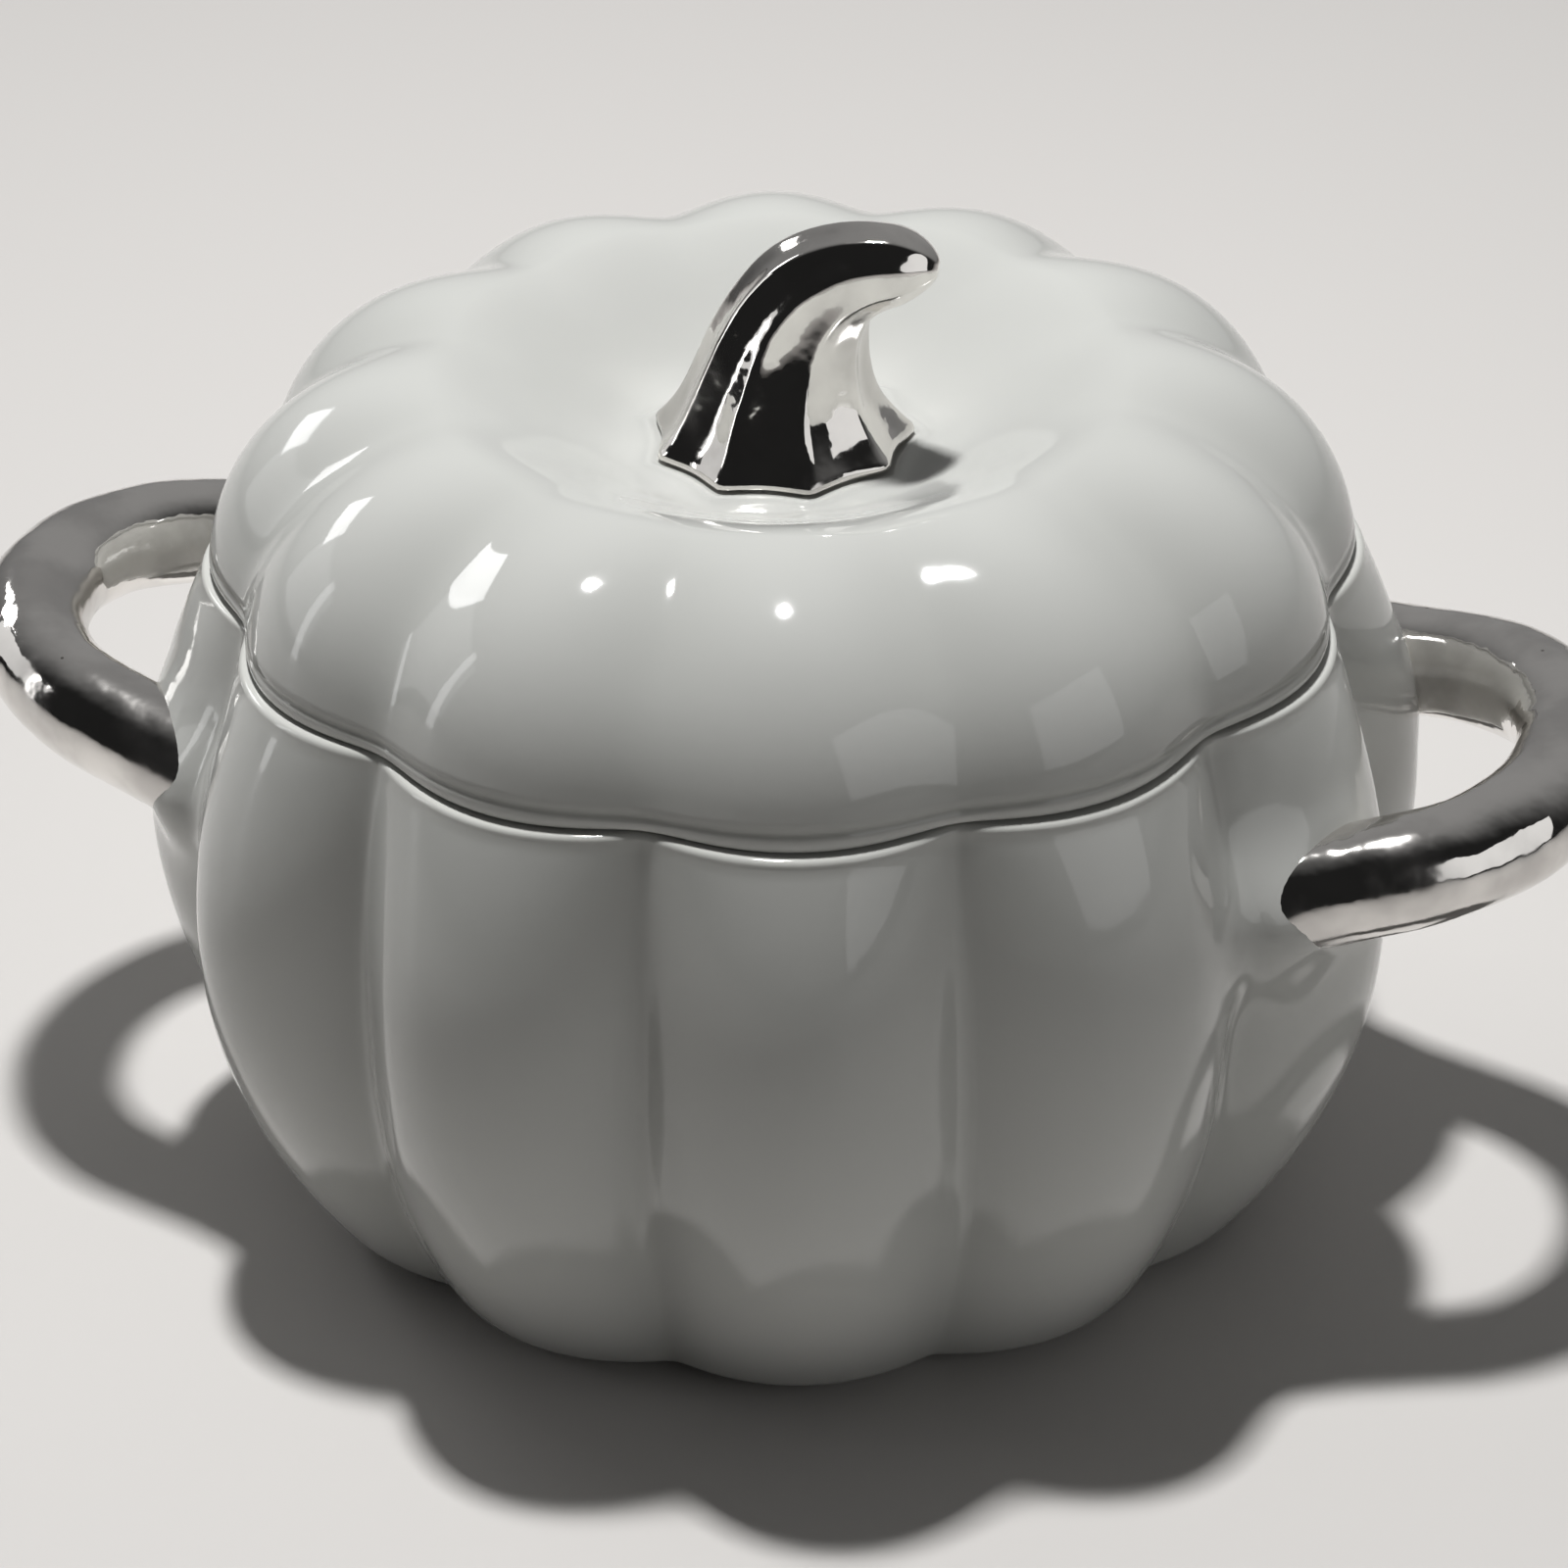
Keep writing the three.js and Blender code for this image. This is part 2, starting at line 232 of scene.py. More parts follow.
def lobed_shell(crown, furrow, closed, marks, rounding, raised):
    """Turns the crown outline about the axis, then draws the furrows in towards theirs.
    marks maps an attribute's name to a function of the crown outline's (r, z).
    raised gives, at a place and angle, the share of a furrow that is filled and the radius
    and height that are added."""
    bm = bmesh.new()
    sink_r = bm.verts.layers.float.new("sink_r")
    sink_z = bm.verts.layers.float.new("sink_z")
    layers = {name: bm.verts.layers.float.new(name) for name in marks}
    furrow_layer = bm.verts.layers.float.new("furrow")
    chain = []
    for on_crown, in_furrow in zip(crown, furrow):
        vert = bm.verts.new((on_crown.x, 0, on_crown.y))
        vert[sink_r] = in_furrow.x - on_crown.x
        vert[sink_z] = in_furrow.y - on_crown.y
        for name, mark in marks.items():
            vert[layers[name]] = mark(on_crown)
        chain.append(vert)
    edges = [bm.edges.new(pair) for pair in zip(chain, chain[1:])]
    if closed:
        edges.append(bm.edges.new((chain[-1], chain[0])))
    bmesh.ops.spin(
        bm,
        geom=chain + edges,
        cent=(0, 0, 0),
        axis=(0, 0, 1),
        angle=2 * math.pi,
        steps=STEPS_PER_LOBE * LOBES,
        use_merge=True,
        use_duplicate=False,
    )
    for vert in bm.verts:
        angle = gathered(math.atan2(vert.co.y, vert.co.x))
        r = math.hypot(vert.co.x, vert.co.y)
        place = Vector((r * math.cos(angle), r * math.sin(angle), vert.co.z))
        filled, wider, higher = raised(place, angle)
        share = (1 - crown_share(angle, rounding)) * (1 - filled)
        r += vert[sink_r] * share + wider
        z = vert.co.z + vert[sink_z] * share + higher
        depth = math.hypot(vert[sink_r], vert[sink_z])
        vert[furrow_layer] = share * min(depth / RIM_FURROW, 1)
        vert.co = (r * math.cos(angle), r * math.sin(angle), z)
    bm.verts.layers.float.remove(bm.verts.layers.float["sink_r"])
    bm.verts.layers.float.remove(bm.verts.layers.float["sink_z"])
    return bm


def near(corner, reach):
    """A mark that fades from 1 at a corner of the outline to 0 at a distance."""
    return lambda point: 1 - smoothstep((point - corner).length, 0, reach)


# ---- Bowl ----


def bowl_side(base_depth, belly_depth, rim_depth):
    """Outer side of the bowl from the base to the rim. Depths are zero on the crowns."""
    base = Vector((BASE_R, FOOT_HEIGHT))
    belly = Vector((BELLY_R, BELLY_Z))
    rim = Vector((RIM_R, RIM_Z - RIM_EDGE))
    roll_out = Vector((BELLY_R, lerp(base.y, belly.y, 0.44)))
    side = []
    for point in interpolate_bezier(base, base, roll_out, belly, 50):
        share = 1 - (belly.y - point.y) / (belly.y - base.y)
        depth = belly_depth - (belly_depth - base_depth) * (1 - share) ** 1.4
        side.append(Vector((point.x - depth, point.y)))
    shoulder = Vector((lerp(belly.x, rim.x, 0.33), lerp(belly.y, rim.y, 0.64)))
    rise = Vector((BELLY_R, lerp(belly.y, rim.y, 0.33)))
    for point in interpolate_bezier(belly, rise, shoulder, rim, 26)[1:]:
        share = (point.y - belly.y) / (rim.y - belly.y)
        side.append(Vector((point.x - lerp(belly_depth, rim_depth, share**2), point.y)))
    return side


def bowl_outline(base_depth, belly_depth, rim_depth):
    side = bowl_side(base_depth, belly_depth, rim_depth)
    roll = next(i for i, point in enumerate(side) if point.y > SIDE_START_Z)
    roll_in = side[roll] - (side[roll + 1] - side[roll]).normalized() * 0.0025
    heel = Vector((BASE_R - base_depth, FOOT_HEIGHT))
    inner = offset_outline(side, BOWL_WALL)
    low = next(i for i, point in enumerate(side) if point.y > INNER_SIDE_Z)
    high = next(i for i, point in enumerate(side) if point.y > INNER_SIDE_TOP)
    inside = inner[low:high][::-1]
    inner_base = inside[-1].x
    foot_in = FOOT_R - FOOT_WIDTH
    outline = [Vector((0, FOOT_RECESS)), Vector((foot_in * 0.5, FOOT_RECESS))]
    outline += interpolate_bezier(
        Vector((foot_in - 0.003, FOOT_RECESS)),
        Vector((foot_in - 0.0005, FOOT_RECESS)),
        Vector((foot_in, 0.0018)),
        Vector((foot_in, 0.0006)),
        6,
    )
    outline += [Vector((foot_in + 0.0006, 0)), Vector((FOOT_R - 0.0006, 0))]
    outline += interpolate_bezier(
        Vector((FOOT_R, 0.0004)),
        Vector((FOOT_R + 0.0001, FOOT_HEIGHT)),
        Vector((FOOT_R + 0.0004, FOOT_HEIGHT)),
        Vector((FOOT_R + 0.0014, FOOT_HEIGHT)),
        4,
    )
    outline += interpolate_bezier(
        heel - Vector((0.005, 0)), heel - Vector((0.0015, 0)), roll_in, side[roll], 10
    )
    outline += side[roll + 1 :]
    rim = side[-1]
    outline += interpolate_bezier(
        rim,
        rim + Vector((0, RIM_EDGE * 0.6)),
        Vector((rim.x - RIM_EDGE * 0.4, RIM_Z)),
        Vector((rim.x - RIM_EDGE, RIM_Z)),
        7,
    )[1:]
    outline += interpolate_bezier(
        Vector((MOUTH_R + 0.001, RIM_Z)),
        Vector((MOUTH_R + 0.0004, RIM_Z)),
        Vector((MOUTH_R, RIM_Z - 0.0004)),
        Vector((MOUTH_R, RIM_Z - 0.001)),
        5,
    )
    outline += interpolate_bezier(
        Vector((MOUTH_R, RIM_Z - MOUTH_DEPTH + 0.003)),
        Vector((MOUTH_R, RIM_Z - MOUTH_DEPTH)),
        inside[0] + Vector((-0.001, 0.002)),
        inside[0],
        9,
    )
    outline += inside[1:]
    outline += interpolate_bezier(
        inside[-1],
        inside[-1] + (inside[-1] - inside[-2]).normalized() * 0.006,
        Vector((inner_base - 0.009, FLOOR_Z)),
        Vector((inner_base - 0.016, FLOOR_Z)),
        12,
    )[1:]
    outline += [Vector((0.03, FLOOR_Z)), Vector((0.012, FLOOR_Z)), Vector((0, FLOOR_Z))]
    return outline


def root_bosses(place, angle):
    """Clay that fills the furrow beside each handle root and stands up around the bar."""
    corner = Vector((abs(place.x), abs(place.y), place.z))
    filled = math.exp(-(((corner - ROOT_BOSS).length / ROOT_BOSS_REACH) ** 2))
    if math.hypot(place.x, place.y) < MOUTH_R + BOWL_WALL:
        return filled, 0, 0
    apart = max((corner - ROOT_AXIS).length - HANDLE_R, 0)
    return filled, ROOT_COLLAR * (1 - smoothstep(apart, 0, ROOT_COLLAR_REACH)), 0


def make_bowl(material):
    marks = {
        "thin": near(Vector((RIM_R - 0.0006, RIM_Z - 0.0004)), 0.0022),
        "raw": lambda point: 1 - smoothstep(point.y, 0.0003, 0.0008),
    }
    crown = bowl_outline(0, 0, 0)
    furrow = bowl_outline(BASE_FURROW, BELLY_FURROW, RIM_FURROW)
    bm = lobed_shell(crown, furrow, False, marks, BOWL_ROUNDING, root_bosses)
    bmesh.ops.remove_doubles(bm, verts=bm.verts, dist=MERGE)
    bmesh.ops.recalc_face_normals(bm, faces=bm.faces)
    hand_form(bm, *BOWL_WAVES)
    surface = BVHTree.FromBMesh(bm)
    finish_piece(bm, "lobed_bowl", "pot", material, "bowl")
    return surface


# ---- Lid ----


def lid_top(depth):
    start = Vector((LID_R, SEAT_Z + LID_LIP))
    crest = Vector((CREST_R, CREST_Z))
    rise = Vector((LID_R - 0.003, lerp(start.y, crest.y, 0.69)))
    level = Vector((lerp(CREST_R, LID_R, 0.4), CREST_Z))
    crown = interpolate_bezier(start, rise, level, crest, 44)
    fall = Vector((lerp(CREST_R, DISH_R, 0.25), CREST_Z))
    flatten = Vector((lerp(CREST_R, DISH_R, 0.8), DISH_Z))
    crown += interpolate_bezier(crest, fall, flatten, Vector((DISH_R, DISH_Z)), 28)[1:]
    sunk = offset_outline(crown, depth)
    return [
        on_crown.lerp(low, smoothstep(on_crown.x, FURROW_START, FURROW_FULL))
        for on_crown, low in zip(crown, sunk)
    ]


def lid_outline(depth):
    top = lid_top(depth)
    lip = top[0]
    crown = lid_top(0)
    flange_in = FLANGE_R - FLANGE_WALL
    ceiling = DISH_Z - LID_WALL
    inner = offset_outline(lid_top(depth * 0.7), LID_WALL)
    kept = [i for i, point in enumerate(crown) if DISH_R < point.x < flange_in + 0.003]
    inside = [Vector((inner[i].x, max(inner[i].y, ceiling))) for i in kept][::-1]
    outline = [Vector((lip.x - LID_LIP - 0.001, SEAT_Z))]
    outline += interpolate_bezier(
        Vector((lip.x - LIP_ROUND * 1.4, SEAT_Z)),
        Vector((lip.x - LIP_ROUND * 0.5, SEAT_Z)),
        Vector((lip.x, SEAT_Z + LIP_ROUND * 0.4)),
        Vector((lip.x, SEAT_Z + LIP_ROUND)),
        8,
    )
    outline += [Vector((lip.x + 0.0001, SEAT_Z + 0.0014)), lip]
    for inward, above in LIP_GROOVE_STEPS:
        outline.append(lip + Vector((-LIP_GROOVE * inward, above)))
    outline += [point for point in top if point.y > lip.y + 0.002 or point.x < CREST_R]
    outline += [Vector((DISH_R - 0.0005 * i, DISH_Z)) for i in range(1, 12)]
    outline.append(Vector((BORE_R, DISH_Z)))
    outline += interpolate_bezier(
        Vector((BORE_R, ceiling + 0.001)),
        Vector((BORE_R, ceiling + 0.0004)),
        Vector((BORE_R + 0.0004, ceiling)),
        Vector((BORE_R + 0.001, ceiling)),
        4,
    )
    outline += inside
    outline += interpolate_bezier(
        Vector((flange_in, SEAT_Z + LID_WALL)),
        Vector((flange_in, SEAT_Z)),
        Vector((flange_in, FLANGE_Z + 0.002)),
        Vector((flange_in, FLANGE_Z + 0.001)),
        5,
    )
    outline += [
        Vector((flange_in + 0.0003, FLANGE_Z + 0.0003)),
        Vector((flange_in + 0.001, FLANGE_Z)),
        Vector((FLANGE_R - 0.001, FLANGE_Z)),
        Vector((FLANGE_R - 0.0003, FLANGE_Z + 0.0003)),
        Vector((FLANGE_R, FLANGE_Z + 0.001)),
        Vector((FLANGE_R, SEAT_Z - 0.0006)),
        Vector((FLANGE_R + 0.0006, SEAT_Z)),
    ]
    return outline


def stem_ripple(place, angle):
    """Glaze drawn up against the foot of the stem, and the slow wave it leaves in the dish."""
    r = math.hypot(place.x, place.y)
    if place.z < DISH_Z - 0.001 or r > CREST_R:
        return 0, 0, 0
    foot = STEM_BASE_R * flute_scale(angle, 0)
    drawn = RIPPLE_RISE * math.exp(-(((r - foot - 0.0002) / RIPPLE_WIDTH) ** 2))
    swell = 0.00022 * math.sin(5 * angle + 1) + 0.00016 * math.sin(8 * angle)
    fade = math.exp(-(((r - foot - RIPPLE_WAVE_OUT) / RIPPLE_WAVE_WIDTH) ** 2))
    return 0, 0, drawn + swell * fade


def make_lid(material):
    lip_foot = Vector((LID_R - 0.0012, SEAT_Z + 0.0005))
    groove = Vector((LID_R - LIP_GROOVE, SEAT_Z + LID_LIP + 0.0009))
    marks = {
        "thin": near(lip_foot, 0.0026),
        "raw": lambda point: 1 - smoothstep(point.y, FLANGE_Z + 0.0004, FLANGE_Z + 0.0011),
        "pool": near(groove, 0.0012),
    }
    bm = lobed_shell(
        lid_outline(0), lid_outline(LID_FURROW), True, marks, LID_ROUNDING, stem_ripple
    )
    finish_piece(bm, "lobed_lid", "cover", material, "lid")


# ---- Round bars: the handles and the stem ----


def extend(bm, edges):
    """Extrudes a ring of edges in place; gives the new ring's vertices and edges."""
    made = bmesh.ops.extrude_edge_only(bm, edges=edges)["geom"]
    verts = [item for item in made if isinstance(item, bmesh.types.BMVert)]
    moved = set(verts)
    return verts, [
        item for item in made if isinstance(item, bmesh.types.BMEdge) and moved.issuperset(item.verts)
    ]


def start_ring(bm, segments, place):
    verts = bmesh.ops.create_circle(bm, cap_ends=False, radius=1, segments=segments)["verts"]
    bmesh.ops.transform(bm, matrix=place, verts=verts)
    return verts, list({edge for vert in verts for edge in vert.link_edges})


def sweep(bm, places, segments):
    """A tube whose rings are the unit circle at each place; gives its first and last rings."""
    verts, edges = start_ring(bm, segments, places[0])
    first = (verts, edges)
    for start, end in zip(places, places[1:]):
        verts, edges = extend(bm, edges)
        bmesh.ops.transform(bm, matrix=end @ start.inverted(), verts=verts)
    return first, (verts, edges)


def placed(centre, along, radius):
    """Where a ring stands: across the curve, with its Y axis as upright as can be."""
    side = Vector((0, 0, 1)).cross(along)
    side.normalize()
    up = along.cross(side)
    turn = Matrix((side, up, along)).transposed().to_4x4()
    return Matrix.Translation(centre) @ turn @ Matrix.Diagonal((radius, radius, radius, 1))


def loop_point(side, t):
    angle = (t - 0.5) * math.pi
    bulge = max(math.cos(angle), 0)
    x = HANDLE_START + (HANDLE_REACH - HANDLE_START) * bulge**HANDLE_SQUARENESS
    y = HANDLE_SPAN / 2 * math.sin(angle)
    return Vector((side * x, side * y, HANDLE_Z + HANDLE_RISE * bulge))


def loop_place(side, t):
    step = 0.004
    along = (loop_point(side, t + step) - loop_point(side, t - step)).normalized()
    # the uneven thickness of a hand-formed bar
    swell = 1 + 0.012 * math.sin(17 * t + side) + 0.008 * math.sin(41 * t + 2 * side)
    return placed(loop_point(side, t), along, HANDLE_R * swell)


def make_handle(name, side, surface, material):
    last = 1 - HANDLE_FIRST
    bm = bmesh.new()
    shares = [lerp(HANDLE_FIRST, last, i / HANDLE_RINGS) for i in range(HANDLE_RINGS + 1)]
    places = [loop_place(side, t) for t in shares]
    ends = sweep(bm, places, HANDLE_SEGMENTS)
    for (_, edges), place, towards in zip(ends, (places[0], places[-1]), (-1, 1)):
        along = (place.to_3x3() @ Vector((0, 0, towards))).normalized()
        verts, edges = extend(bm, edges)
        for vert in verts:
            vert.co = surface.ray_cast(vert.co - along * PROBE, along)[0] - along * SHORT_OF_BOWL
        verts, edges = extend(bm, edges)
        bmesh.ops.translate(bm, verts=verts, vec=along * INTO_BOWL)
        bmesh.ops.holes_fill(bm, edges=edges, sides=0)
    hand_form(bm, *HANDLE_WAVES)
    finish_piece(bm, name + "_loop", "pot", material, name)


# ---- Stem ----


def stem_point(t):
    base = Vector((0, 0, stem_low.z))
    points = (
        base,
        base + Vector((0, 0, STEM_HEIGHT * 0.77)),
        base + Vector((STEM_LEAN * 0.29, 0, STEM_HEIGHT * 1.04)),
        base + Vector((STEM_LEAN, 0, STEM_HEIGHT)),
    )
    weights = ((1 - t) ** 3, 3 * (1 - t) ** 2 * t, 3 * (1 - t) * t**2, t**3)
    return sum((point * weight for point, weight in zip(points, weights)), Vector())


def stem_radius(t):
    body = lerp(STEM_NECK_R, STEM_TIP_R, t)
    flare = (STEM_BASE_R - STEM_NECK_R) * math.exp(-t / STEM_FLARE)
    tip = max(t - (1 - STEM_TIP_LENGTH), 0) / STEM_TIP_LENGTH
    return (body + flare) * math.sqrt(1 - (tip * 0.97) ** 2)


def stem_place(t, radius):
    along = (stem_point(min(t + 0.01, 1)) - stem_point(max(t - 0.01, 0))).normalized()
    along = Vector((0, 0, 1)).lerp(along, smoothstep(t, 0, 0.15)).normalized()
    across = Vector((along.z, 0, -along.x))
    turn = Matrix((across, Vector((0, 1, 0)), along)).transposed().to_4x4()
    return Matrix.Translation(stem_point(t)) @ turn @ Matrix.Diagonal((radius, radius, radius, 1))


def flute_scale(angle, t):
    """Ridges with hollow facets between them, fading towards the tip: 1 on a ridge."""
    wave = math.sqrt(math.sin(STEM_FLUTES * (angle - STEM_TURN) / 2) ** 2 + 0.012) - 0.11
    depth = STEM_FLUTE_DEPTH / STEM_BASE_R * lerp(1, 0.45, smoothstep(t, 0.35, 0.9))
    return 1 - depth * wave / 0.896


def flute_ring(verts, place, t):
    """Puts a ring of vertices on the stem's fluted section at this place."""
    back = place.inverted()
    for vert in verts:
        local = back @ vert.co
        angle = math.atan2(local.y, local.x)
        vert.co = place @ (Vector((math.cos(angle), math.sin(angle), 0)) * flute_scale(angle, t))


def make_stem(material):
    first = STEM_EDGE / (STEM_HEIGHT * 0.77 * 3)
    shares = [
        lerp(first, 1, math.sin(i / STEM_RINGS * math.pi / 2) ** 1.2) for i in range(STEM_RINGS + 1)
    ]
    places = [stem_place(t, stem_radius(t)) for t in shares]
    bm = bmesh.new()
    verts, bottom = start_ring(bm, STEM_FLUTES * 16, places[0])
    flute_ring(verts, places[0], shares[0])
    edges = bottom
    for start, end, t in zip(places, places[1:], shares[1:]):
        verts, edges = extend(bm, edges)
        bmesh.ops.transform(bm, matrix=end @ start.inverted(), verts=verts)
        flute_ring(verts, end, t)
    bmesh.ops.holes_fill(bm, edges=edges, sides=0)
    # the rolled lower edge, the flat ring it stands on and the hollow underneath
    bore = BORE_R / STEM_BASE_R
    hollow = STEM_HOLLOW / 3
    steps = [(1.012, -0.0005), (0.998, -0.0005), (0.97, -0.0003), (0.95, -0.0001), (bore / 0.93, 0)]
    steps += [(1, hollow), (0.85, hollow), (0.5, hollow * 0.7)]
    for scale, rise in steps:
        verts, bottom = extend(bm, bottom)
        bmesh.ops.transform(
            bm, matrix=Matrix.Translation((0, 0, rise)) @ Matrix.Diagonal((scale, scale, 1, 1)), verts=verts
        )
    bmesh.ops.holes_fill(bm, edges=bottom, sides=0)
    hand_form(bm, *STEM_WAVES)
    finish_piece(bm, "curled_stem", "cover", material, "stem_knob")


# ---- Materials ----


def new_group(name, inputs, outputs):
    group = bpy.data.node_groups.new(name, "ShaderNodeTree")
    for title, kind, value in inputs:
        socket = group.interface.new_socket(title, in_out="INPUT", socket_type=kind)
        socket.default_value = value
    for title, kind in outputs:
        group.interface.new_socket(title, in_out="OUTPUT", socket_type=kind)
    return group, group.nodes.new("NodeGroupInput"), group.nodes.new("NodeGroupOutput")


def put(tree, kind, sockets=None, **settings):
    """Adds a node; a socket's value is either a number or colour, or the socket it is linked from."""
    node = tree.nodes.new(kind)
    for name, value in settings.items():
        setattr(node, name, value)
    for name, value in (sockets or {}).items():
        if isinstance(value, bpy.types.NodeSocket):
            tree.links.new(value, node.inputs[name])
        else:
            node.inputs[name].default_value = value
    return node


def ramp(tree, value, low, high, bottom=0.0, top=1.0):
    sockets = {"Value": value, "From Min": low, "From Max": high, "To Min": bottom, "To Max": top}
    return put(tree, "ShaderNodeMapRange", sockets, interpolation_type="SMOOTHSTEP").outputs[0]


def maths(tree, operation, a, b):
    return put(tree, "ShaderNodeMath", {0: a, 1: b}, operation=operation).outputs[0]


def blend_colours(tree, share, a, b):
    node = put(tree, "ShaderNodeMix", data_type="RGBA")
    for index, value in ((0, share), (6, a), (7, b)):
        if isinstance(value, bpy.types.NodeSocket):
            tree.links.new(value, node.inputs[index])
        else:
            node.inputs[index].default_value = value
    return node.outputs[2]


def fired_surface():
    """Height of a kiln-fired surface: slow waves of the hand-finished form and fine orange peel."""
    group, given, out = new_group(
        "fired_surface",
        [("Wave size", "NodeSocketFloat", 40.0), ("Peel share", "NodeSocketFloat", 0.1)],
        [("Height", "NodeSocketFloat")],
    )
    place = put(group, "ShaderNodeTexCoord").outputs["Object"]
    waves = put(group, "ShaderNodeTexNoise", {"Vector": place, "Scale": given.outputs[0], "Detail": 1.5})
    peel = put(group, "ShaderNodeTexNoise", {"Vector": place, "Scale": 420.0, "Detail": 1.0})
    fine = maths(group, "MULTIPLY", peel.outputs["Fac"], given.outputs[1])
    group.links.new(maths(group, "ADD", waves.outputs["Fac"], fine), out.inputs["Height"])
    return group


def pinholes():
    """Masks the few cells of a Voronoi pattern that hold a pinhole or a dark speck."""
    group, given, out = new_group(
        "pinholes",
        [
            ("Cells", "NodeSocketFloat", 90.0),
            ("Width", "NodeSocketFloat", 0.04),
            ("Rarity", "NodeSocketFloat", 0.9),
        ],
        [("Mask", "NodeSocketFloat")],
    )
    place = put(group, "ShaderNodeTexCoord").outputs["Object"]
    cells = put(group, "ShaderNodeTexVoronoi", {"Vector": place, "Scale": given.outputs[0]})
    inside = maths(group, "LESS_THAN", cells.outputs["Distance"], given.outputs[1])
    chance = put(group, "ShaderNodeSeparateColor", {"Color": cells.outputs["Color"]}).outputs[0]
    chosen = maths(group, "GREATER_THAN", chance, given.outputs[2])
    group.links.new(maths(group, "MULTIPLY", inside, chosen), out.inputs["Mask"])
    return group


def use(tree, group, **values):
    node = tree.nodes.new("ShaderNodeGroup")
    node.node_tree = group
    for name, value in values.items():
        node.inputs[name.replace("_", " ").capitalize()].default_value = value
    return node


def new_material(name):
    material = bpy.data.materials.new(name)
    material.use_nodes = True
    tree = material.node_tree
    return material, tree, tree.nodes["Principled BSDF"]


def sage_glaze(surface_group, speck_group):
    material, tree, shader = new_material("sage_glaze")
    place = put(tree, "ShaderNodeTexCoord").outputs["Object"]
    cloud = put(tree, "ShaderNodeTexNoise", {"Vector": place, "Scale": 22.0, "Detail": 3.0})
    body = blend_colours(tree, cloud.outputs["Fac"], SAGE_DEEP, SAGE_PALE)
    furrow = put(tree, "ShaderNodeAttribute", attribute_name="furrow").outputs["Fac"]
    pool = put(tree, "ShaderNodeAttribute", attribute_name="pool").outputs["Fac"]
    thick = maths(tree, "MAXIMUM", maths(tree, "MULTIPLY", furrow, 0.3), maths(tree, "MULTIPLY", pool, 0.9))
    pooled = blend_colours(tree, thick, body, SAGE_POOLED)
    thin = put(tree, "ShaderNodeAttribute", attribute_name="thin").outputs["Fac"]
    bare = blend_colours(tree, maths(tree, "MULTIPLY", thin, 0.3), pooled, SAGE_THIN)
    specks = use(tree, speck_group, Cells=85.0, Width=0.035, Rarity=0.93).outputs[0]
    specked = blend_colours(tree, maths(tree, "MULTIPLY", specks, 0.6), bare, GLAZE_SPECK)
    raw = put(tree, "ShaderNodeAttribute", attribute_name="raw").outputs["Fac"]
    clay = blend_colours(tree, cloud.outputs["Fac"], CLAY_DEEP, CLAY_PALE)
    tree.links.new(blend_colours(tree, raw, specked, clay), shader.inputs["Base Color"])
    gloss = ramp(tree, cloud.outputs["Fac"], 0.3, 0.7, 0.05, 0.08)
    tree.links.new(maths(tree, "ADD", gloss, maths(tree, "MULTIPLY", raw, 0.7)), shader.inputs["Roughness"])
    height = use(tree, surface_group, Wave_size=30.0, Peel_share=0.035).outputs[0]
    pitted = maths(tree, "SUBTRACT", height, maths(tree, "MULTIPLY", specks, 0.3))
    bump = put(tree, "ShaderNodeBump", {"Height": pitted, "Strength": 0.25, "Distance": 0.0012})
    tree.links.new(bump.outputs[0], shader.inputs["Normal"])
    shader.inputs["IOR"].default_value = 1.52
    return material


def platinum_lustre(surface_group, speck_group):
    material, tree, shader = new_material("platinum_lustre")
    place = put(tree, "ShaderNodeTexCoord").outputs["Object"]
    film = put(tree, "ShaderNodeTexNoise", {"Vector": place, "Scale": 60.0, "Detail": 4.0})
    worn = ramp(tree, film.outputs["Fac"], 0.38, 0.66)
    body = blend_colours(tree, worn, PLATINUM, PLATINUM_WORN)
    specks = use(tree, speck_group, Cells=260.0, Width=0.07, Rarity=0.88).outputs[0]
    tree.links.new(blend_colours(tree, specks, body, LUSTRE_SPECK), shader.inputs["Base Color"])
    gloss = ramp(tree, film.outputs["Fac"], 0.42, 0.68, 0.05, 0.2)
    tree.links.new(gloss, shader.inputs["Roughness"])
    height = use(tree, surface_group, Wave_size=95.0, Peel_share=0.09).outputs[0]
    pitted = maths(tree, "SUBTRACT", height, maths(tree, "MULTIPLY", specks, 0.25))
    bump = put(tree, "ShaderNodeBump", {"Height": pitted, "Strength": 0.5, "Distance": 0.0013})
    tree.links.new(bump.outputs[0], shader.inputs["Normal"])
    shader.inputs["Metallic"].default_value = 1
    return material


# ---- Studio ----


def make_floor():
    bm = bmesh.new()
    bmesh.ops.create_grid(bm, x_segments=1, y_segments=1, size=3)
    mesh = bpy.data.meshes.new("floor")
    bm.to_mesh(mesh)
    bm.free()
    floor = bpy.data.objects.new("floor", mesh)
    bpy.context.scene.collection.objects.link(floor)
    material, tree, shader = new_material("pale_floor")
    shader.inputs["Base Color"].default_value = FLOOR_COLOUR
    shader.inputs["Roughness"].default_value = 0.45
    mesh.materials.append(material)


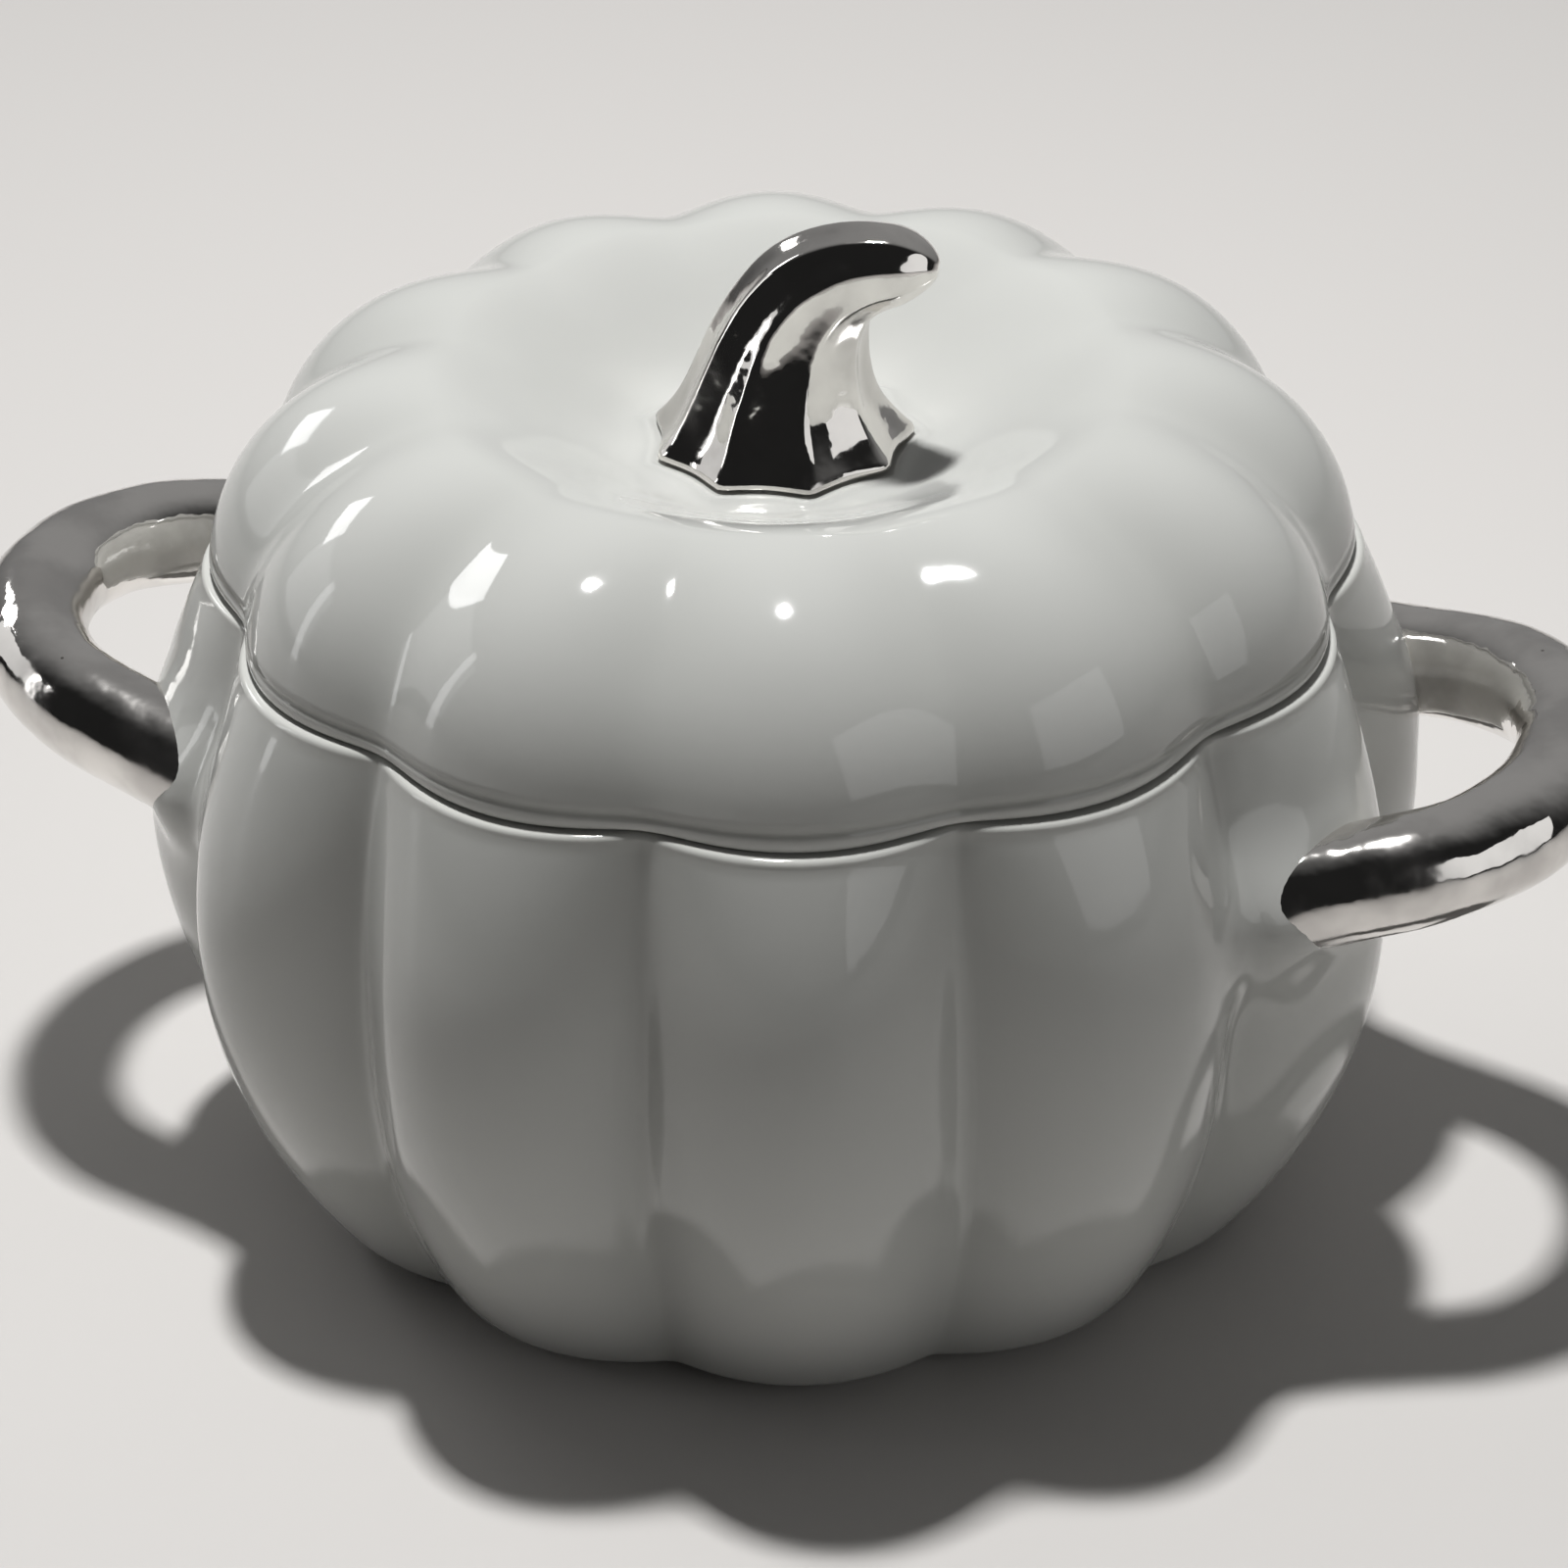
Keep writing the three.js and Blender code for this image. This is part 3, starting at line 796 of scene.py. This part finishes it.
def make_camera():
    """Looks a little down on the front, with the right handle turned towards the viewer."""
    level = math.cos(CAMERA_HEIGHT)
    back = Vector(
        (math.sin(CAMERA_TURN) * level, -math.cos(CAMERA_TURN) * level, math.sin(CAMERA_HEIGHT))
    )
    right = Vector((math.cos(CAMERA_TURN), math.sin(CAMERA_TURN), 0))
    up = back.cross(right)
    across = right * math.cos(CAMERA_ROLL) + up * math.sin(CAMERA_ROLL)
    upright = up * math.cos(CAMERA_ROLL) - right * math.sin(CAMERA_ROLL)
    data = bpy.data.cameras.new("camera")
    data.lens = CAMERA_LENS
    data.sensor_width = 36
    data.shift_x = CAMERA_SHIFT
    data.clip_start = 0.01
    camera = bpy.data.objects.new("camera", data)
    turn = Matrix((across, upright, back)).transposed().to_4x4()
    camera.matrix_world = Matrix.Translation(CAMERA_AIM + back * CAMERA_DISTANCE) @ turn
    bpy.context.scene.collection.objects.link(camera)
    bpy.context.scene.camera = camera


def make_light(name, place, aim, width, height, power):
    data = bpy.data.lights.new(name, "AREA")
    data.shape = "RECTANGLE"
    data.size = width
    data.size_y = height
    data.energy = power
    light = bpy.data.objects.new(name, data)
    towards = Vector(aim) - Vector(place)
    light.matrix_world = Matrix.Translation(place) @ towards.to_track_quat("-Z", "Y").to_matrix().to_4x4()
    light.visible_camera = False
    bpy.context.scene.collection.objects.link(light)
    return data


def make_studio():
    key = make_light("key", (-0.16, 0.2, 1.6), (0, 0.1, 0), 0.12, 0.12, 14.4)
    key.spread = math.radians(120)
    make_light("left_card", (-1.5, 0.82, 0.98), (0, 0, 0.1), 0.55, 0.36, 3.6)
    make_light("left_screen", (-2, 0.1, 0.7), (0, 0, 0.1), 1.4, 1, 3)
    make_light("left_strip", (-1.9, -0.35, 0.55), (0, 0, 0.08), 0.16, 1.3, 1.6)
    make_light("right_screen", (1.8, -0.9, 0.75), (0, 0, 0.1), 1.8, 1.3, 6)
    world = bpy.data.worlds.new("studio")
    world.use_nodes = True
    tree = world.node_tree
    towards = put(tree, "ShaderNodeTexCoord").outputs["Generated"]
    # the room is dark in front and grows lighter overhead and behind
    lift = put(tree, "ShaderNodeVectorMath", {0: towards, 1: (0, 0.8, 0.45)}, operation="DOT_PRODUCT")
    room = ramp(tree, lift.outputs["Value"], 0.1, 0.9, 0.014, 0.27)
    tree.links.new(room, tree.nodes["Background"].inputs["Strength"])
    tree.nodes["Background"].inputs["Color"].default_value = (1, 1, 1, 1)
    bpy.context.scene.world = world
    bpy.context.scene.view_settings.view_transform = "Standard"


make_camera()
make_floor()
surface_group = fired_surface()
speck_group = pinholes()
glaze = sage_glaze(surface_group, speck_group)
lustre = platinum_lustre(surface_group, speck_group)
bowl_surface = make_bowl(glaze)
make_lid(glaze)
make_handle("handle_right", 1, bowl_surface, lustre)
make_handle("handle_left", -1, bowl_surface, lustre)
make_stem(lustre)
make_studio()
